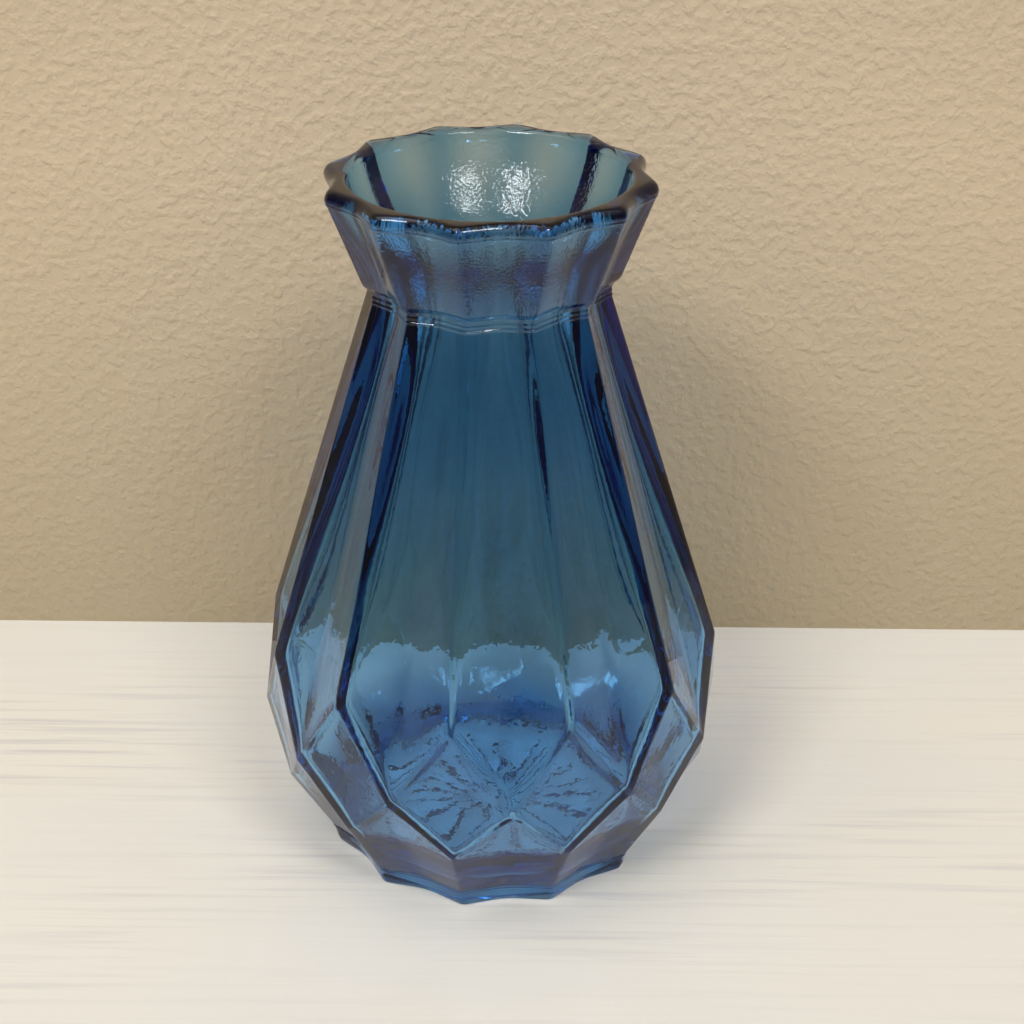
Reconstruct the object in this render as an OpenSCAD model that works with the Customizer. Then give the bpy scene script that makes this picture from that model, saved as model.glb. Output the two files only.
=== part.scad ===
// Faceted glass vase with a flared, ridged collar and a starburst base.
// Millimetres, +Z up. The origin is the centre of the foot's underside.
// Each section is a star: ridges stand midway between valleys, one valley lies
// on +X, and flat facets join each ridge line to the valley lines beside it.

/* [Facets] */
// Number of ridges around the vase
ridge_count = 12; // [10:1:16]

/* [Heights] */
// Height of the foot band
foot_h = 4.3; // [3.5:0.1:5.5]
// Height of the heel corners, where the lower facets meet on a ridge
heel_z = 20; // [18:0.5:22]
// Height of the belly corners, the widest points, each on a valley line
belly_z = 33; // [31:0.5:35]
// Height of the shoulder corners, where the long facets end on a ridge
shoulder_z = 52; // [48:0.5:56]
// Height of the body's top, where the neck band starts
body_top_z = 128; // [122:1:134]
// Height of the plain band between body and collar
neck_band_h = 2; // [1.5:0.1:3]
// Height of the flared collar
collar_h = 22; // [19:0.5:26]

/* [Radii at the corners] */
// Radius of the foot's underside at a ridge
foot_r = 36.9; // [36:0.1:37.8]
// Radius of the top of the foot band at a ridge
foot_top_r = 37.9; // [37.8:0.1:38.8]
// Radius of the heel corners
heel_r = 46.9; // [46:0.1:47.8]
// Radius of the belly corners
belly_r = 50.1; // [49.4:0.1:51]
// Radius of the shoulder corners
shoulder_r = 48.9; // [48:0.1:49.6]
// Radius of the neck band at a ridge
neck_r = 24.8; // [24.4:0.1:25.6]
// Radius of the collar's lower corner at a ridge
collar_low_r = 26.6; // [26:0.1:27.4]
// Radius of the rim at a ridge
rim_r = 34; // [33.4:0.1:35]

/* [Inside] */
// Inner radius of the throat, the narrowest place
throat_r = 18.6; // [18:0.1:19.2]
// Inner radius of the mouth below its rounded edge
mouth_r = 27.8; // [27:0.1:28.2]
// Inner radius at the belly
inner_belly_r = 44.6; // [43:0.1:45]
// Height of the inner floor above the table
inner_floor_z = 6.5; // [5.5:0.1:8]
// Height of the rounded lip edges, and how far the inner one reaches outwards
lip_round = 1.4; // [1:0.1:1.5]
// How far the rounded outer edge of the rim reaches inwards
rim_round = 2.2; // [1.4:0.1:2.4]

/* [Base] */
// Radius of the base plate inside the foot ring
plate_r = 30; // [28:0.5:31]
// Height of the hollow under the base plate
hollow_h = 2.4; // [1.5:0.1:2.5]
// Number of rays in the starburst under the plate
ray_count = 16; // [12:1:20]
// Length of one ray
ray_l = 22; // [16:0.5:24]
// Width of one ray at its widest
ray_w = 5.6; // [3:0.1:6]
// Height that the rays stand proud of the plate
ray_h = 1.2; // [0.5:0.1:1.4]
// Radius of the button in the middle of the starburst
button_r = 3.5; // [3:0.1:5]

/* [Hidden] */
$fn = 96;
collar_z = body_top_z + neck_band_h;
total_h = collar_z + collar_h;
half_step = 180 / ridge_count;
collar_corner_h = 1.7;   // height of the bevel under the collar
lip_steps = 4;           // rings in the rounded outer edge of the lip
curve_steps = 12;        // straight stretches in each inner curve
bowl_ease = 12;          // how far below the belly the inside runs on upright
belly_ease = 23;         // how far above the belly the inside runs on upright
throat_ease = 25;        // the same below the throat
flare_ease = 10;         // the same above the throat
mouth_lean = [2, 10.5];  // how far in and down the flare's control point is from the mouth
over = 5;                // how far a cutter runs past the glass

// A ridge point and a valley point of one ridge-valley pair, as [x, y, z].
function ridge_pt(r, z) = [r * cos(half_step), r * sin(half_step), z];
function valley_pt(r, z) = [r, 0, z];

// Radius at height z of the valley line of the flat facet through ridge points
// a and b and valley point c.
function flat_valley(a, b, c, z) =
    let (n = cross(b - a, c - a))
    (n * a - n.z * z) / n.x;

// Valley radii follow from the flat facets of the body.
neck_valley_r = flat_valley(ridge_pt(neck_r, body_top_z),
                            ridge_pt(shoulder_r, shoulder_z),
                            valley_pt(belly_r, belly_z), body_top_z);
foot_valley_r = flat_valley(ridge_pt(foot_top_r, foot_h),
                            ridge_pt(heel_r, heel_z),
                            valley_pt(belly_r, belly_z), foot_h);
collar_ratio = neck_valley_r / neck_r;
foot_ratio = foot_valley_r / foot_top_r;

// One ring of points round the axis, one point on each ridge or each valley.
function ring_on_ridges(r, z) =
    [for (i = [0:ridge_count - 1])
        let (a = (2 * i + 1) * half_step)
        [r * cos(a), r * sin(a), z]];
function ring_on_valleys(r, z) =
    [for (i = [0:ridge_count - 1])
        let (a = 2 * i * half_step)
        [r * cos(a), r * sin(a), z]];

// A cubic curve from a to d with control points b and c, without its last point.
function curve(a, b, c, d) =
    [for (i = [0:curve_steps - 1])
        let (t = i / curve_steps, s = 1 - t)
        s * s * s * a + 3 * s * s * t * b + 3 * s * t * t * c + t * t * t * d];

// A closed solid through star rings. Each ring is [ridge radius, height], and its
// valleys lie at ratio times the ridge radius.
module star_solid(rings, ratio) {
    n = 2 * ridge_count;
    last = len(rings) - 1;
    points = [for (ring = rings, i = [0:n - 1])
        let (r = ring[0] * (i % 2 == 0 ? ratio : 1))
        [r * cos(i * half_step), r * sin(i * half_step), ring[1]]];
    sides = [for (k = [0:last - 1], i = [0:n - 1])
        let (a = k * n + i, b = k * n + (i + 1) % n)
        [a, a + n, b + n, b]];
    hub = len(points);
    ends = [for (i = [0:n - 1])
        let (j = (i + 1) % n)
        each [[i, j, hub], [last * n + j, last * n + i, hub + 1]]];
    hubs = [[0, 0, rings[0][1]], [0, 0, rings[last][1]]];
    polyhedron(concat(points, hubs), concat(sides, ends));
}

// The faceted outside of the body, from the foot band to the neck.
module body_outside() {
    c = ridge_count;
    points = concat(
        ring_on_valleys(foot_valley_r, foot_h),
        ring_on_ridges(foot_top_r, foot_h),
        ring_on_ridges(heel_r, heel_z),
        ring_on_valleys(belly_r, belly_z),
        ring_on_ridges(shoulder_r, shoulder_z),
        ring_on_valleys(neck_valley_r, body_top_z),
        ring_on_ridges(neck_r, body_top_z),
        [[0, 0, foot_h], [0, 0, body_top_z]]);
    foot_valley = 0;
    foot_ridge = c;
    heel = 2 * c;
    belly = 3 * c;
    shoulder = 4 * c;
    neck_valley = 5 * c;
    neck_ridge = 6 * c;
    // Facets beside valley i: one half towards ridge i, one towards ridge i - 1.
    sides = [for (i = [0:c - 1])
        let (p = (i + c - 1) % c)
        each [
            [foot_valley + i, belly + i, heel + i, foot_ridge + i],
            [foot_valley + i, foot_ridge + p, heel + p, belly + i],
            [heel + i, belly + i, shoulder + i],
            [heel + p, shoulder + p, belly + i],
            [belly + i, neck_valley + i, neck_ridge + i, shoulder + i],
            [belly + i, shoulder + p, neck_ridge + p, neck_valley + i]
        ]];
    foot_hub = 7 * c;
    neck_hub = foot_hub + 1;
    ends = [for (i = [0:c - 1])
        let (p = (i + c - 1) % c)
        each [
            [foot_valley + i, foot_ridge + i, foot_hub],
            [foot_ridge + p, foot_valley + i, foot_hub],
            [neck_ridge + i, neck_valley + i, neck_hub],
            [neck_valley + i, neck_ridge + p, neck_hub]
        ]];
    polyhedron(points, concat(sides, ends));
}

// The whole inside of the vase as one round cutter, open past the lip.
module cavity() {
    throat_z = collar_z - neck_band_h / 2;
    belly_in_z = belly_z + 3;
    lip_z = total_h - lip_round;
    floor_flat_r = 0.8 * plate_r;
    wall = concat(
        [[0, inner_floor_z]],
        curve([floor_flat_r, inner_floor_z],
              [1.2 * plate_r, inner_floor_z],
              [inner_belly_r, belly_in_z - bowl_ease],
              [inner_belly_r, belly_in_z]),
        curve([inner_belly_r, belly_in_z],
              [inner_belly_r, belly_in_z + belly_ease],
              [throat_r, throat_z - throat_ease],
              [throat_r, throat_z]),
        curve([throat_r, throat_z],
              [throat_r, throat_z + flare_ease],
              [mouth_r, lip_z] - mouth_lean,
              [mouth_r, lip_z]),
        [for (a = [180:-15:90])
            [mouth_r + lip_round + lip_round * cos(a), lip_z + lip_round * sin(a)]],
        [[mouth_r + lip_round, total_h + over], [0, total_h + over]]);
    rotate_extrude() polygon(wall);
}

// Flared finish with the lip: starred outside, round inside.
module collar() {
    lip_z = total_h - lip_round;
    lip_rings = [for (i = [0:lip_steps])
        let (a = 90 * i / lip_steps)
        [rim_r - rim_round * (1 - cos(a)), lip_z + lip_round * sin(a)]];
    color([0.42, 0.52, 0.60, 0.75])
    difference() {
        star_solid(concat([[neck_r, collar_z],
                           [collar_low_r, collar_z + collar_corner_h]],
                          lip_rings), collar_ratio);
        cavity();
    }
}

// Plain band at the waist of the neck, between the two seams.
module neck_band() {
    color([0.30, 0.45, 0.56, 0.75])
    difference() {
        star_solid([[neck_r, body_top_z], [neck_r, collar_z]], collar_ratio);
        cavity();
    }
}

// Wall of the body, from the foot band up to the neck.
module body_wall() {
    color([0.16, 0.36, 0.56, 0.75])
    difference() {
        body_outside();
        cavity();
        translate([0, 0, foot_h - over]) cylinder(r = plate_r, h = inner_floor_z + over);
    }
}

// One ray of the starburst: a kite with its wide end outwards.
module ray() {
    widest = 0.7 * ray_l;
    translate([button_r - 1, 0, hollow_h - ray_h])
    linear_extrude(ray_h + 1)
    polygon([[0, 0], [widest, -ray_w / 2], [ray_l, 0], [widest, ray_w / 2]]);
}

// Round floor of the vase, with a starburst standing in the hollow under it.
module base_plate() {
    color([0.24, 0.48, 0.72, 0.75]) {
        difference() {
            translate([0, 0, hollow_h])
            cylinder(r = plate_r, h = inner_floor_z + foot_h - hollow_h);
            cavity();
        }
        for (i = [0:ray_count - 1]) rotate(360 * i / ray_count) ray();
        translate([0, 0, hollow_h - ray_h]) cylinder(r = button_r, h = ray_h + 1);
    }
}

// Foot band that the vase stands on, around the base plate.
module foot_ring() {
    color([0.25, 0.46, 0.52, 0.75])
    difference() {
        star_solid([[foot_r, 0], [foot_top_r, foot_h]], foot_ratio);
        translate([0, 0, -over]) cylinder(r = plate_r, h = foot_h + 2 * over);
    }
}

collar();
neck_band();
body_wall();
base_plate();
foot_ring();
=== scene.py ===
import math

import bpy
import numpy as np
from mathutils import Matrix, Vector, noise


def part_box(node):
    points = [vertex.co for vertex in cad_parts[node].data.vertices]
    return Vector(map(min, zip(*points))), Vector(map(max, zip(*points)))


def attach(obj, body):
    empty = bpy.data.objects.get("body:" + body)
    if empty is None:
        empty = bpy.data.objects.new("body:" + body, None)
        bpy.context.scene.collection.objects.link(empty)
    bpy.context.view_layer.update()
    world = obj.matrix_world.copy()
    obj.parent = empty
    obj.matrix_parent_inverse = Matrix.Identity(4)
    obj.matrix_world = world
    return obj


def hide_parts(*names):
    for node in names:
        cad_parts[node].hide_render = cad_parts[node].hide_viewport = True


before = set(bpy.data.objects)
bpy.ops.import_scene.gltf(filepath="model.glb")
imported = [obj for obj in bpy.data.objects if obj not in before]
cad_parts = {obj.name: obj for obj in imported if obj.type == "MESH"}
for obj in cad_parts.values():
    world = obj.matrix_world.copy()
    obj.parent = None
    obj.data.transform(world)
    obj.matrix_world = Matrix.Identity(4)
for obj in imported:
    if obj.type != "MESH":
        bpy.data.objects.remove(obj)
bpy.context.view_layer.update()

MM = 0.001
RIDGES = 12
STEP = 2 * math.pi / RIDGES
HALF = STEP / 2


def height(node, end):
    """Lowest (0) or highest (1) z of a CAD node, in mm."""
    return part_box(node)[end].z / MM


# Heights of the seams come from the frame. The other sizes repeat the part's own.
FOOT_H = height("foot_ring", 1)
BODY_TOP = height("body_wall", 1)
COLLAR_Z = height("neck_band", 1)
TOP = height("collar", 1)
HEEL = (46.9, 20.0)        # (radius, height) of the corners on a ridge
SHOULDER = (48.9, 52.0)
BELLY = (50.1, 33.0)       # the same for the corners on a valley line
FOOT_R, FOOT_TOP_R = 36.9, 37.9
NECK_R, COLLAR_LOW_R, RIM_R = 24.8, 26.6, 34.0
COLLAR_CORNER_Z = COLLAR_Z + 1.7
THROAT_R, MOUTH_R, INNER_BELLY_R = 18.6, 27.8, 44.6
INNER_FLOOR, HOLLOW_H, PLATE_R = 6.5, 2.4, 30.0
BOWL_EASE, BELLY_EASE = 12, 23       # how far the inside runs on upright below and above the belly
THROAT_EASE, FLARE_EASE = 25, 10     # the same below and above the throat
MOUTH_LEAN = (2, 10.5)               # how far in and down the flare's control point is
LIP = 1.4                            # radius of the lip's rounded inner edge
RIM_DROP, RIM_ROUND = 2.2, 2.2       # height of its rounded outer edge, and its reach inwards

# Details that only the looks have.
BEAD_Z = TOP - 3                     # fine seam under the rim
FIN = 0.22                           # height and half width of a mould seam's fin
RAYS = 16                            # petals of the starburst
GAP = 0.02                           # air between neighbouring regions, too thin to see


# ---------------------------------------------------------------- outside shape
def ridge(r, z):
    return np.array([r * math.cos(HALF), r * math.sin(HALF), z])


def valley(r, z):
    return np.array([r, 0.0, z])


class Facet:
    """The flat facet through three points, seen as a radius at angle phi and height z."""

    def __init__(self, a, b, c):
        self.n = np.cross(b - a, c - a)
        self.d = self.n @ a

    def radius(self, phi, z):
        across = self.n[0] * np.cos(phi) + self.n[1] * np.sin(phi)
        return (self.d - self.n[2] * z) / across


def low(a, b, k):
    """The smaller of a and b, blended where they differ by less than k."""
    h = np.maximum(k - np.abs(a - b), 0) / k
    return np.minimum(a, b) - h * h * k / 4


def high(a, b, k):
    """The larger of a and b, blended in the same way."""
    return -low(-a, -b, k)


upper = Facet(ridge(NECK_R, BODY_TOP), ridge(*SHOULDER), valley(*BELLY))
diamond = Facet(ridge(*SHOULDER), ridge(*HEEL), valley(*BELLY))
lower = Facet(ridge(*HEEL), ridge(FOOT_TOP_R, FOOT_H), valley(*BELLY))
NECK_STAR = upper.radius(0.0, BODY_TOP) / NECK_R     # valley over ridge radius
FOOT_STAR = lower.radius(0.0, FOOT_H) / FOOT_TOP_R
RIDGE_K, VALLEY_K, BELT_K = 0.5, 0.7, 0.25           # how softly facets meet outside
INNER_K = 0.8                                        # the same inside


def body_shape(phi, z, ridge_k=RIDGE_K, valley_k=VALLEY_K, belt_k=BELT_K):
    """Radius of the faceted body. phi is the angle from the nearest valley."""
    mirror = STEP - phi
    up = low(upper.radius(phi, z), upper.radius(mirror, z), ridge_k)
    up = high(up, upper.radius(-phi, z), valley_k)
    mid = high(diamond.radius(phi, z), diamond.radius(mirror, z), belt_k)
    mid = low(mid, diamond.radius(-phi, z), belt_k)
    down = low(lower.radius(phi, z), lower.radius(mirror, z), ridge_k)
    down = high(down, lower.radius(-phi, z), valley_k)
    return low(low(up, mid, belt_k), down, belt_k)


def star(phi, ratio, k):
    """Star section with ridges at 1 and valleys at ratio, its corners rounded by k."""
    line = Facet(ridge(1, 0), ridge(1, 1), valley(ratio, 0))
    s = low(line.radius(phi, 0), line.radius(STEP - phi, 0), k)
    return high(s, line.radius(-phi, 0), k)


def seam_line(z, at):
    """How far the fine fin of a mould seam at height at stands out of the glass at z."""
    return FIN * np.exp(-((z - at) / FIN)**2)


# ---------------------------------------------------------------- inside shape
THINNER = 0.8                      # how much the wall is thinner round the belly than the part's
THIN_START = (12, 22)              # heights over which the thinner stretch begins
THIN_END = (55, 90)                # and ends
CLOSE_END = (54, 80)               # where the inside stops following the facets closely
SCALLOP_END = (100, 126)           # where its soft scallops fade out
SEAM_FADE, FLOOR_FADE = 5, 6       # how far from a seam and the floor all of this is back


def bezier(a, b, c, d, count=60):
    t = np.linspace(0, 1, count)[:, None]
    a, b, c, d = (np.array(p, float) for p in (a, b, c, d))
    return (1 - t)**3 * a + 3 * (1 - t)**2 * t * b + 3 * (1 - t) * t * t * c + t**3 * d


THROAT_Z = (BODY_TOP + COLLAR_Z) / 2
BELLY_IN_Z = BELLY[1] + 3
LIP_Z = TOP - LIP
bowl = bezier((0.8 * PLATE_R, INNER_FLOOR), (1.2 * PLATE_R, INNER_FLOOR),
              (INNER_BELLY_R, BELLY_IN_Z - BOWL_EASE), (INNER_BELLY_R, BELLY_IN_Z))
shaft = bezier((INNER_BELLY_R, BELLY_IN_Z), (INNER_BELLY_R, BELLY_IN_Z + BELLY_EASE),
               (THROAT_R, THROAT_Z - THROAT_EASE), (THROAT_R, THROAT_Z))
flare = bezier((THROAT_R, THROAT_Z), (THROAT_R, THROAT_Z + FLARE_EASE),
               (MOUTH_R - MOUTH_LEAN[0], LIP_Z - MOUTH_LEAN[1]), (MOUTH_R, LIP_Z), count=50)
inside_curve = np.vstack([bowl[:-1], shaft[:-1], flare])


def inside_radius(z):
    return np.interp(z, inside_curve[:, 1], inside_curve[:, 0])


def floor_height(r):
    """Height of the inner floor at radius r."""
    return float(np.interp(r, bowl[:, 0], bowl[:, 1]))


EDGE_Z = floor_height(PLATE_R)     # where the base plate's edge reaches the inside


def ripple(theta, r, z, wave, seed):
    """Smooth noise from -1 to 1 at points of the glass, its waves wave mm long."""
    x, y, z = np.broadcast_arrays(r * np.cos(theta), r * np.sin(theta), z)
    points = np.stack([x, y, z], -1).reshape(-1, 3) / wave
    shift = Vector((seed, 0, 0))
    return np.array([noise.noise(Vector(p) + shift) for p in points]).reshape(x.shape)


def ramp(x, start, end):
    """0 before start, 1 after end and smooth between."""
    t = min(1, max(0, (x - start) / (end - start)))
    return t * t * (3 - 2 * t)


def blown_inside(theta, z):
    """Radius of the inside: it follows the facets of the body and has soft waves.

    Low down it follows them closely, higher up only as soft scallops. Both fade out beside
    the seams, where two regions have to meet."""
    r = inside_radius(z) + THINNER * ramp(z, *THIN_START) * (1 - ramp(z, *THIN_END))
    fade = ramp(abs(z - BODY_TOP), 0, SEAM_FADE) * ramp(abs(z - COLLAR_Z), 0, SEAM_FADE)
    fade *= ramp(z, EDGE_Z, EDGE_Z + FLOOR_FADE)
    tall_waves = 0.06 * ripple(theta, r, z / 2.5, wave=9, seed=11)
    fine_waves = 0.02 * ripple(theta, r, z / 1.3, wave=3.2, seed=5)
    follow = 0
    if z < BODY_TOP:
        facets = body_shape(phi, z, INNER_K, INNER_K, INNER_K)
        round_turn = np.interp(np.linspace(0, HALF, 50), phi[:COLUMNS], facets[:COLUMNS])
        close = 1 - ramp(z, *CLOSE_END)
        scallop = (ramp(z, *SCALLOP_END) - 1) * np.cos(RIDGES * theta)
        follow = close * (facets - round_turn.mean()) + (1 - close) * scallop
    return r + fade * (follow + tall_waves + fine_waves)


# ---------------------------------------------------------------- meshes
OUTSIDE, INSIDE, SEAM = 0, 1, 2                      # what a face of the glass is
COLUMNS = 12                                         # from a valley to the next ridge
BESIDE_SEAM = np.array([0, 0.1, 0.22, 0.36, 0.6])    # rows that draw the fin beside a seam


def columns():
    """Angles once round the vase, closer together beside ridges and valleys."""
    t = np.linspace(0, 1, COLUMNS + 1)[:-1]
    ease = t - 0.75 * np.sin(2 * math.pi * t) / (2 * math.pi)
    return np.concatenate([(k + ease) * HALF for k in range(2 * RIDGES)])


theta = columns()
phi = np.minimum(np.mod(theta, STEP), STEP - np.mod(theta, STEP))


def spread(a, b, count, ends=0.0):
    """Values from a to b. Where ends is above 0 they are closer together near both ends."""
    t = np.linspace(0, 1, count)
    t = t - ends * np.sin(2 * math.pi * t) / (2 * math.pi)
    return [a + (b - a) * s for s in t]


def build(name, verts, faces, kinds):
    """A glass mesh from points in mm. kinds says what each face is."""
    mesh = bpy.data.meshes.new(name)
    mesh.from_pydata((verts * MM).tolist(), [], faces)
    for label, kind in (("seam", SEAM), ("inside", INSIDE)):
        marks = [float(k == kind) for k in kinds]
        mesh.attributes.new(label, "FLOAT", "FACE").data.foreach_set("value", marks)
    mesh.update()
    mesh.shade_smooth()
    touching = {}
    for face, kind in zip(mesh.polygons, kinds):
        for key in face.edge_keys:
            touching.setdefault(key, set()).add(kind == SEAM)
    sharp = [len(touching[edge.key]) > 1 for edge in mesh.edges]
    mesh.attributes.new("sharp_edge", "BOOLEAN", "EDGE").data.foreach_set("value", sharp)
    piece = bpy.data.objects.new(name, mesh)
    bpy.context.collection.objects.link(piece)
    return piece


def strip(k, nxt, n):
    """Faces between rows k and nxt, each of n points once round the axis."""
    return [(k * n + i, k * n + (i + 1) % n, nxt * n + (i + 1) % n, nxt * n + i) for i in range(n)]


def tube(name, rows):
    """A closed ring-shaped piece. Each row is (radius, height, kind) once round the axis,
    the rows go once round its section, and kind is that of the strip up to the next row."""
    n = len(theta)
    verts, faces, kinds = [], [], []
    for k, (r, z, kind) in enumerate(rows):
        r, z = np.broadcast_to(r, n), np.broadcast_to(z, n)
        verts.append(np.stack([r * np.cos(theta), r * np.sin(theta), z], -1))
        faces += strip(k, (k + 1) % len(rows), n)
        kinds += [kind] * n
    return build(name, np.concatenate(verts), faces, kinds)


def on_edge(a, b):
    """Height where each column crosses the straight edge from ridge point a to valley point b."""
    ra, rb = ridge(*a), valley(*b)
    slope = np.tan(phi)
    t = (ra[1] - ra[0] * slope) / ((ra[1] - rb[1]) - (ra[0] - rb[0]) * slope)
    return ra[2] + t * (rb[2] - ra[2])


def body_wall():
    beside_edge = np.array([0.2, 0.45, 0.75, 1.1])   # rows beside the belt's edges
    edge_zone, seam_zone = 1.6, 1.0                  # how far such closer rows reach
    least_half = 0.4                                 # keeps the two edges apart at the belly
    wobble = 0.03                                    # how uneven the outside is
    dense_z = 60                                     # the inside has closer rows below this
    above, below = on_edge(SHOULDER, BELLY), on_edge(HEEL, BELLY)
    half = np.hypot((above - below) / 2, least_half)
    below, above = (above + below) / 2 - half, (above + below) / 2 + half
    low_z, high_z = FOOT_H + GAP, BODY_TOP - GAP
    heights = list(low_z + BESIDE_SEAM)
    heights += spread(low_z + seam_zone, below - edge_zone, 16)
    heights += [below - o for o in beside_edge[::-1]]
    heights += spread(below, above, 19, 0.88)
    heights += [above + o for o in beside_edge]
    heights += spread(above + edge_zone, high_z - seam_zone, 44)
    heights += list(high_z - BESIDE_SEAM[::-1])
    rows = []
    for z in heights:
        z = np.broadcast_to(z, phi.shape)
        r = body_shape(phi, z) + wobble * (ripple(theta, 45, z, wave=14, seed=3) - 1)
        rows.append([r + seam_line(z, FOOT_H) + seam_line(z, BODY_TOP), z, OUTSIDE])
    rows[-1][2] = SEAM
    inner = spread(high_z, dense_z, 60) + spread(dense_z, EDGE_Z, 64)[1:]
    rows += [[blown_inside(theta, z), z, INSIDE] for z in inner]
    rows[-1][0], rows[-1][2] = PLATE_R + GAP, SEAM
    rows.append([PLATE_R + GAP, low_z, SEAM])
    return tube("body_wall_glass", rows)


def neck_band():
    low_z, high_z = BODY_TOP + GAP, COLLAR_Z - GAP
    section = star(phi, NECK_STAR, RIDGE_K / NECK_R) * NECK_R
    rows = []
    for z in spread(low_z, high_z, 17, 0.6):
        seams = seam_line(z, BODY_TOP) + 0.5 * seam_line(z, THROAT_Z) + seam_line(z, COLLAR_Z)
        rows.append([section + seams, z, OUTSIDE])
    rows[-1][2] = SEAM
    rows += [[inside_radius(z), z, INSIDE] for z in spread(high_z, low_z, 5)]
    rows[-1][2] = SEAM
    return tube("neck_band_glass", rows)


def collar():
    low_z = COLLAR_Z + GAP
    lean = (RIM_R - COLLAR_LOW_R) / (LIP_Z - COLLAR_CORNER_Z)
    under = (COLLAR_LOW_R - NECK_R) / (COLLAR_CORNER_Z - COLLAR_Z)
    beside_bead = np.array([-0.5, -0.3, -0.15, 0, 0.15, 0.3, 0.5])
    # The bevel, its softened corner, the flare with the bead, and the rim's rounding.
    profile = [(NECK_R + under * s, low_z + s) for s in (0, 0.1, 0.22, 0.4, 0.7, 1.1, 1.4)]
    profile += [(COLLAR_LOW_R - 0.12, COLLAR_CORNER_Z - 0.1), (COLLAR_LOW_R, COLLAR_CORNER_Z + 0.15)]
    flare_z = [*spread(COLLAR_CORNER_Z + 0.5, BEAD_Z - 1, 18), *(BEAD_Z + beside_bead), TOP - RIM_DROP]
    profile += [(COLLAR_LOW_R + lean * (z - COLLAR_CORNER_Z), z) for z in flare_z]
    round_r, round_z = profile[-1]
    reach = round_r - (RIM_R - RIM_ROUND)
    for a in np.radians(np.arange(10, 91, 10)):
        profile.append((round_r - reach * (1 - math.cos(a)), round_z + RIM_DROP * math.sin(a)))
    rows = []
    for r, z in profile:
        round_k = 0.5 + 0.8 * (z - COLLAR_Z) / (TOP - COLLAR_Z)    # ridges soften upwards
        seams = seam_line(z, COLLAR_Z) + 0.7 * seam_line(z, BEAD_Z)
        rows.append([star(phi, NECK_STAR, round_k / r) * r + seams, z, OUTSIDE])
    for a in np.radians(np.arange(90, 181, 15)):
        rows.append([MOUTH_R + LIP + LIP * math.cos(a), LIP_Z + LIP * math.sin(a), OUTSIDE])
    rows += [[blown_inside(theta, z), z, INSIDE] for z in spread(LIP_Z, low_z, 44)[1:]]
    rows[-1][2] = SEAM
    return tube("collar_glass", rows)


def foot_ring():
    low_r, high_z = PLATE_R + GAP, FOOT_H - GAP
    rounding = 0.7                                   # radius of the edges that it stands on
    profile = []
    for a in np.radians(np.arange(-90, 1, 18)):
        profile.append((FOOT_R - rounding * (1 - math.cos(a)), rounding * (1 + math.sin(a))))
    for z in spread(rounding, high_z - 1, 6)[1:] + list(high_z - BESIDE_SEAM[::-1]):
        profile.append((FOOT_R + (FOOT_TOP_R - FOOT_R) * z / FOOT_H, z))
    section = star(phi, FOOT_STAR, 0.9 / FOOT_R)
    rows = [[section * r + seam_line(z, FOOT_H), z, OUTSIDE] for r, z in profile]
    rows[-1][2] = SEAM
    rows.append([low_r, high_z, SEAM])
    rows.append([low_r, HOLLOW_H, OUTSIDE])
    for a in np.radians(np.arange(180, 271, 18)):
        rows.append([low_r + rounding * (1 + math.cos(a)), rounding * (1 + math.sin(a)), OUTSIDE])
    return tube("foot_ring_glass", rows)


def starburst(turn, r):
    """How far the moulded petals stand down from the plate's underside at radius r.

    They are broad and softly crowned, with narrow grooves between them, and they run
    together into a button in the middle."""
    tall, groove = 1.2, 0.1                          # height, and the grooves' share of it
    inner, outer = (2.5, 8.5), (21.5, 25.5)          # radii where the petals begin and end
    bend = 0.11 * ripple(turn, r, 0, wave=5, seed=33)
    petal = np.abs(np.cos((turn + bend) * RAYS / 2))
    crown = groove + (1 - groove) * petal**0.4
    depth = ramp(r, *inner)
    return tall * (1 - ramp(r, *outer)) * (depth * crown + (1 - depth))


def base_plate():
    n = RAYS * 24
    turn = np.linspace(0, 2 * math.pi, n, endpoint=False)
    edge, middle = PLATE_R - GAP, 0.6                # radii of the outermost and innermost rows
    rows = []
    for r in spread(edge, middle, 44):
        waves = 0.3 * ramp(edge - r, 0, 4) * ripple(turn, r, 0, wave=8, seed=21)
        rows.append((r, floor_height(r) + waves, INSIDE))
    top = len(rows) - 1
    for r in spread(middle, edge, 56):
        rows.append((r, HOLLOW_H - starburst(turn, r), OUTSIDE))
    verts, faces, kinds = [], [], []
    for k, (r, z, kind) in enumerate(rows):
        verts.append(np.stack([r * np.cos(turn), r * np.sin(turn), z * np.ones(n)], -1))
        nxt = (k + 1) % len(rows)
        if k != top:
            faces += strip(k, nxt, n)
            kinds += [kind if nxt else SEAM] * n
    verts = np.concatenate(verts)
    for k, kind in ((top, INSIDE), (top + 1, OUTSIDE)):
        hub = len(verts)
        verts = np.vstack([verts, [0, 0, verts[k * n:(k + 1) * n, 2].mean()]])
        for i in range(n):
            pair = (k * n + i, k * n + (i + 1) % n)
            faces.append((*pair, hub) if kind == INSIDE else (*pair[::-1], hub))
            kinds.append(kind)
    return build("base_plate_glass", verts, faces, kinds)


# ---------------------------------------------------------------- materials
GLASS_COLOUR = (0.023, 0.54, 0.82, 1.0)
PEEL_DEPTH = 0.2            # depth of the orange peel in the glass, in parts of a wave
PEEL_OUTSIDE = 0.08         # how much of the orange peel the outside has
LIT_R, DARK_R = 0.2, 0.5    # the painted pool of light on the table and wall fades between these distances, in metres
OUT_OF_LIGHT = 0.4          # how bright the painted shade leaves them further out
POOL_FORWARD = 0.03         # how far in front of the vase the painted pool of light has its middle


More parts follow.
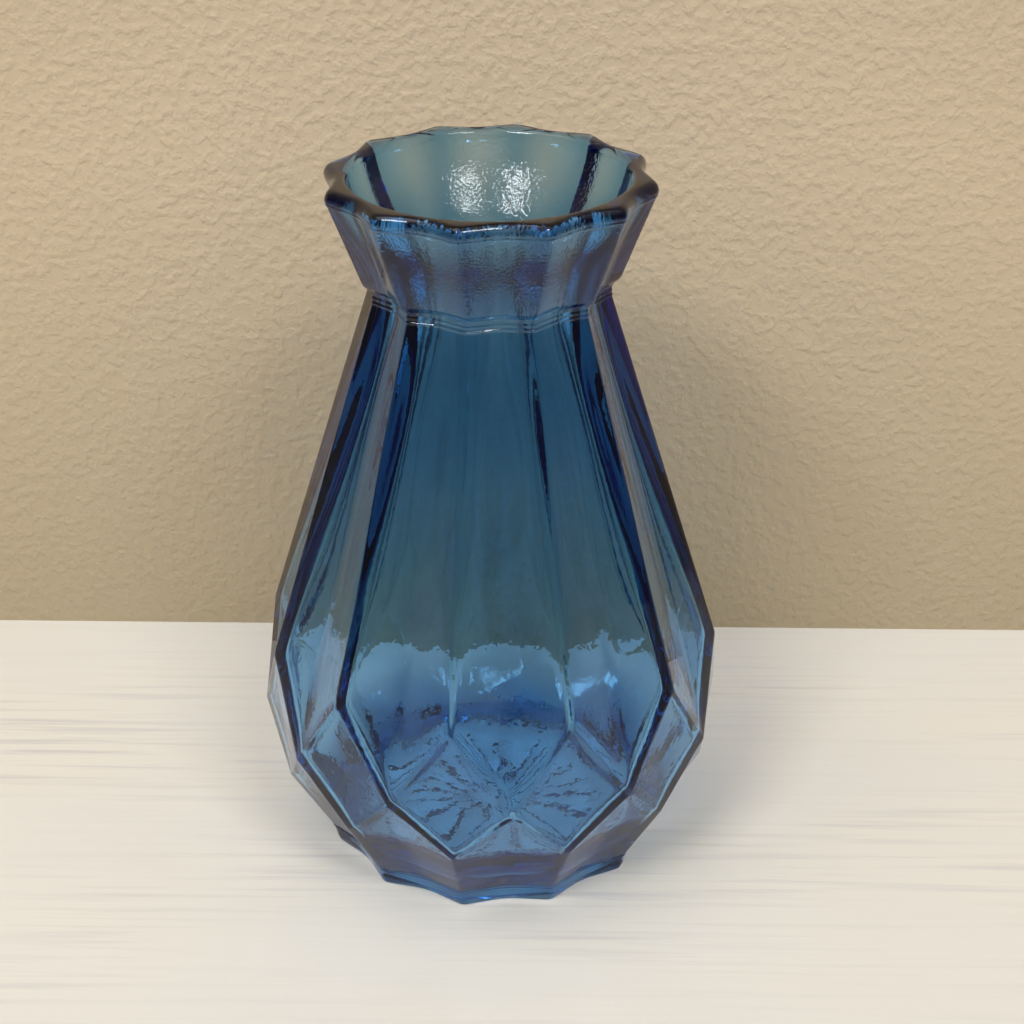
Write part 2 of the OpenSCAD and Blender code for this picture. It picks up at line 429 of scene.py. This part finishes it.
class Nodes:
    """A short way to write a node tree."""

    def __init__(self, owner):
        owner.use_nodes = True
        self.tree = owner.node_tree
        self.tree.nodes.clear()

    def add(self, kind, output=0, /, **inputs):
        """Add a node. i0, i1... are sockets by number, and other names are settings of the
        node, or else sockets by name. Returns one of its outputs."""
        node = self.tree.nodes.new("ShaderNode" + kind)
        for key, value in inputs.items():
            by_number = key[0] == "i" and key[1:].isdigit()
            if not by_number and hasattr(node, key):
                setattr(node, key, value)
                continue
            socket = node.inputs[int(key[1:]) if by_number else key.replace("_", " ")]
            if isinstance(value, bpy.types.NodeSocket):
                self.tree.links.new(value, socket)
            else:
                socket.default_value = value
        return node.outputs[output] if node.outputs else node

    def math(self, operation, a, b=0.0):
        return self.add("Math", operation=operation, i0=a, i1=b)

    def remap(self, value, a, b, c, d):
        """Value from a..b mapped to c..d, and clamped."""
        return self.add("MapRange", i0=value, i1=a, i2=b, i3=c, i4=d)

    def mix(self, factor, a, b):
        """Colour a where factor is 0, b where it is 1."""
        return self.add("MixRGB", i0=factor, i1=(*a, 1) if isinstance(a, tuple) else a,
                        i2=(*b, 1) if isinstance(b, tuple) else b)

    def stretched_noise(self, place, scale, detail, roughness):
        """Noise that is scaled on its own along each axis."""
        grid = self.add("Mapping", Vector=place, Scale=scale)
        return self.add("TexNoise", Vector=grid, Scale=1.0, Detail=detail, Roughness=roughness)


def glass(name, peel, grain, scuff, density):
    """Blue glass. peel is how strong the orange peel inside is and grain how fine, in waves
    per metre. scuff is the worn haze outside, and density how strongly it absorbs light."""
    material = bpy.data.materials.new(name)
    n = Nodes(material)
    place = n.add("TexCoord", "Object")
    fine = n.add("TexNoise", Vector=place, Scale=grain, Detail=1.0, Roughness=0.5)
    coarse = n.add("TexNoise", Vector=place, Scale=0.45 * grain, Detail=1.0, Roughness=0.4)
    smear = n.add("TexNoise", Vector=place, Scale=60.0, Detail=5.0, Roughness=0.65)
    seam = n.add("Attribute", "Fac", attribute_name="seam")
    inside = n.add("Attribute", "Fac", attribute_name="inside")
    clear = n.math("SUBTRACT", 1.0, seam)
    haze = n.remap(smear, 0.45, 0.75, 0.0, scuff)
    depth = n.math("MULTIPLY", clear, n.remap(inside, 0.0, 1.0, PEEL_OUTSIDE * peel, peel))
    skin = n.math("ADD", fine, n.math("MULTIPLY", coarse, 0.4))
    bump = n.add("Bump", Strength=depth, Distance=PEEL_DEPTH / grain, Height=skin)
    tint = n.remap(smear, 0.3, 0.7, 0.97, 1.0)
    shader = n.add("BsdfPrincipled", Base_Color=n.add("CombineColor", i0=tint, i1=tint, i2=1.0),
                   Roughness=n.math("MULTIPLY", haze, clear),
                   IOR=n.remap(seam, 0.0, 1.0, 1.5, 1.0),
                   Transmission_Weight=1.0, Normal=bump)
    inner = n.add("VolumeAbsorption", Color=GLASS_COLOUR, Density=density)
    n.add("OutputMaterial", Surface=shader, Volume=inner)
    return material


def painted_light_pool(n, place, height_too):
    """Painted pool of light: 1 near the vase, dropping to OUT_OF_LIGHT further out, where it darkens
    the paint as painted shade.
    """
    spot = n.add("Mapping", Vector=place, Location=(0.0, POOL_FORWARD, 0.0),
                 Scale=(1.0, 1.0, 1.0 if height_too else 0.0))
    distance = n.add("VectorMath", 1, operation="LENGTH", i0=spot)
    return n.remap(distance, LIT_R, DARK_R, 1.0, OUT_OF_LIGHT)


# Darkens a colour by amount, for painted shade.
def dim(n, colour, amount):
    return n.add("MixRGB", blend_type="MULTIPLY", i0=1.0, i1=colour, i2=amount)


def table_paint():
    """Whitewashed board: pale paint with faint grey brush streaks, and a painted pool of light that
    leaves it darker away from the vase.
    """
    material = bpy.data.materials.new("whitewash")
    n = Nodes(material)
    place = n.add("TexCoord", "Object")
    streak = n.stretched_noise(place, (14.0, 420.0, 1.0), 4.0, 0.6)
    patch = n.stretched_noise(place, (8.0, 22.0, 1.0), 2.0, 0.5)
    worn = n.remap(patch, 0.45, 0.7, 0.1, 0.7)
    bare = n.math("MULTIPLY", n.remap(streak, 0.5, 0.68, 0.0, 1.0), worn)
    paint = n.mix(n.remap(patch, 0.3, 0.7, 0.0, 1.0), (0.82, 0.80, 0.76), (0.85, 0.82, 0.75))
    colour = n.mix(bare, paint, (0.56, 0.54, 0.56))
    bump = n.add("Bump", Strength=0.2, Distance=0.0004, Height=streak)
    # Painted pool of light: the table's paint is darker further from the vase.
    colour = dim(n, colour, painted_light_pool(n, place, False))
    shader = n.add("BsdfPrincipled", Base_Color=colour, Roughness=0.7, Normal=bump)
    n.add("OutputMaterial", Surface=shader)
    return material


def wall_paint():
    """Beige paint on a finely stippled wall, seen from the room's side only, with painted shade:
    darker towards the floor and away from the vase.
    """
    material = bpy.data.materials.new("wall_paint")
    n = Nodes(material)
    place = n.add("TexCoord", "Object")
    stipple = n.add("TexNoise", Vector=place, Scale=420.0, Detail=2.0, Roughness=0.5)
    grains = n.remap(stipple, 0.4, 0.7, 0.0, 1.0)
    bump = n.add("Bump", Strength=0.5, Distance=0.0006, Height=grains)
    up = n.add("SeparateXYZ", 2, i0=place)
    # Painted shade: the wall is darker near the floor and lighter higher up.
    painted_wall_shade = n.mix(n.remap(up, 0.0, 0.13, 0.0, 1.0), (0.465, 0.38, 0.25), (0.70, 0.56, 0.385))
    # Painted pool of light: the wall's paint is darker further from the vase.
    painted_wall_shade = dim(n, painted_wall_shade, painted_light_pool(n, place, True))
    paint = n.add("BsdfPrincipled", Base_Color=painted_wall_shade, Roughness=0.8, Normal=bump)
    behind = n.add("NewGeometry", "Backfacing")
    shader = n.add("MixShader", i0=behind, i1=paint, i2=n.add("BsdfTransparent"))
    n.add("OutputMaterial", Surface=shader)
    return material


# ---------------------------------------------------------------- the vase
# Maker, CAD node, slot, and the glass's peel, grain, scuff and density
PIECES = (
    (collar, "collar", "collar_glass", 0.8, 1500.0, 0.03, 285.0),
    (neck_band, "neck_band", "neck_glass", 0.6, 1500.0, 0.03, 220.0),
    (body_wall, "body_wall", "body_glass", 0.15, 700.0, 0.03, 235.0),
    (base_plate, "base_plate", "base_glass", 0.1, 500.0, 0.03, 88.0),
    (foot_ring, "foot_ring", "foot_glass", 0.15, 700.0, 0.05, 230.0),
)
for make, node, slot, peel, grain, scuff, density in PIECES:
    piece = make()
    piece.data.materials.append(glass(slot, peel, grain, scuff, density))
    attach(piece, "root")
    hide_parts(node)

# ---------------------------------------------------------------- camera
# From here on lengths are metres.
HEADING = math.radians(5.32)        # of the view, from +Y towards +X
PITCH = 0.4871                      # how far it looks down, in radians
CAMERA_PLACE = (-0.0302, -0.3723, 0.2745)
LENS = 69.7

ahead = Vector((math.sin(HEADING) * math.cos(PITCH), math.cos(HEADING) * math.cos(PITCH),
                -math.sin(PITCH)))
camera_data = bpy.data.cameras.new("camera")
camera_data.lens = LENS
camera_data.clip_start = 0.01
camera = bpy.data.objects.new("camera", camera_data)
bpy.context.collection.objects.link(camera)
camera.location = CAMERA_PLACE
camera.rotation_euler = ahead.to_track_quat("-Z", "Y").to_euler()
bpy.context.scene.camera = camera

# ---------------------------------------------------------------- stage
ROOM_TURN = -HEADING - 0.019        # the table's back edge is almost square to the view
WALL_BEHIND = 0.0803                # how far the wall stands behind the vase's axis
WALL_TOP = 1.2
REACH, TABLE_DEPTH = 3.0, 1.5       # how far both run sideways, and the table to front and back
LAMP_COLOUR = (1.0, 0.98, 0.95)
LAMP_AIM = Vector((0, 0, 0.06))


def sheet(name, corners, material):
    mesh = bpy.data.meshes.new(name)
    mesh.from_pydata(corners, [], [(0, 1, 2, 3)])
    mesh.materials.append(material)
    obj = bpy.data.objects.new(name, mesh)
    bpy.context.collection.objects.link(obj)
    obj.location.z = -GAP * MM
    obj.rotation_euler.z = ROOM_TURN


sheet("table", [(-REACH, -TABLE_DEPTH, 0), (REACH, -TABLE_DEPTH, 0), (REACH, TABLE_DEPTH, 0),
                (-REACH, TABLE_DEPTH, 0)], table_paint())
sheet("wall", [(-REACH, WALL_BEHIND, 0), (REACH, WALL_BEHIND, 0), (REACH, WALL_BEHIND, WALL_TOP),
               (-REACH, WALL_BEHIND, WALL_TOP)], wall_paint())


def softbox(name, place, size, radiance):
    """A rectangular light that faces the vase."""
    light = bpy.data.lights.new(name, "AREA")
    light.shape = "RECTANGLE"
    light.size, light.size_y = size
    light.energy = radiance * size[0] * size[1] * math.pi
    light.color = LAMP_COLOUR
    lamp = bpy.data.objects.new(name, light)
    bpy.context.collection.objects.link(lamp)
    lamp.location = place
    lamp.rotation_euler = (LAMP_AIM - Vector(place)).to_track_quat("-Z", "Y").to_euler()


softbox("ceiling", (-0.6, 0.0, 1.6), (1.3, 1.0), 1.3)
softbox("lamp_left", (-0.68, -0.94, 1.35), (0.5, 0.3), 21.0)
softbox("lamp_right", (0.43, -1.08, 1.35), (0.5, 0.3), 15.0)
softbox("front", (0.1, -2.3, 1.0), (1.6, 0.8), 0.7)


def room_light():
    """Dim room, darker towards the front, with a bright ceiling."""
    world = bpy.data.worlds.new("room")
    n = Nodes(world)
    way = n.add("TexCoord", "Generated")
    depth = n.add("SeparateXYZ", 1, i0=way)
    up = n.add("SeparateXYZ", 2, i0=way)
    around = n.mix(n.remap(depth, 0.25, 0.85, 0.0, 1.0), (0.12, 0.115, 0.11), (0.43, 0.37, 0.28))
    sky = n.mix(n.remap(up, 0.35, 0.85, 0.0, 1.0), around, (0.78, 0.75, 0.71))
    n.add("OutputWorld", Surface=n.add("Background", i0=sky, i1=1.0))
    bpy.context.scene.world = world


room_light()
scene = bpy.context.scene
scene.view_settings.view_transform = "Standard"
scene.cycles.max_bounces = 24
scene.cycles.transmission_bounces = 24
scene.cycles.glossy_bounces = 16
scene.cycles.transparent_max_bounces = 24
scene.cycles.blur_glossy = 0        # above 0 it dims the table under the vase
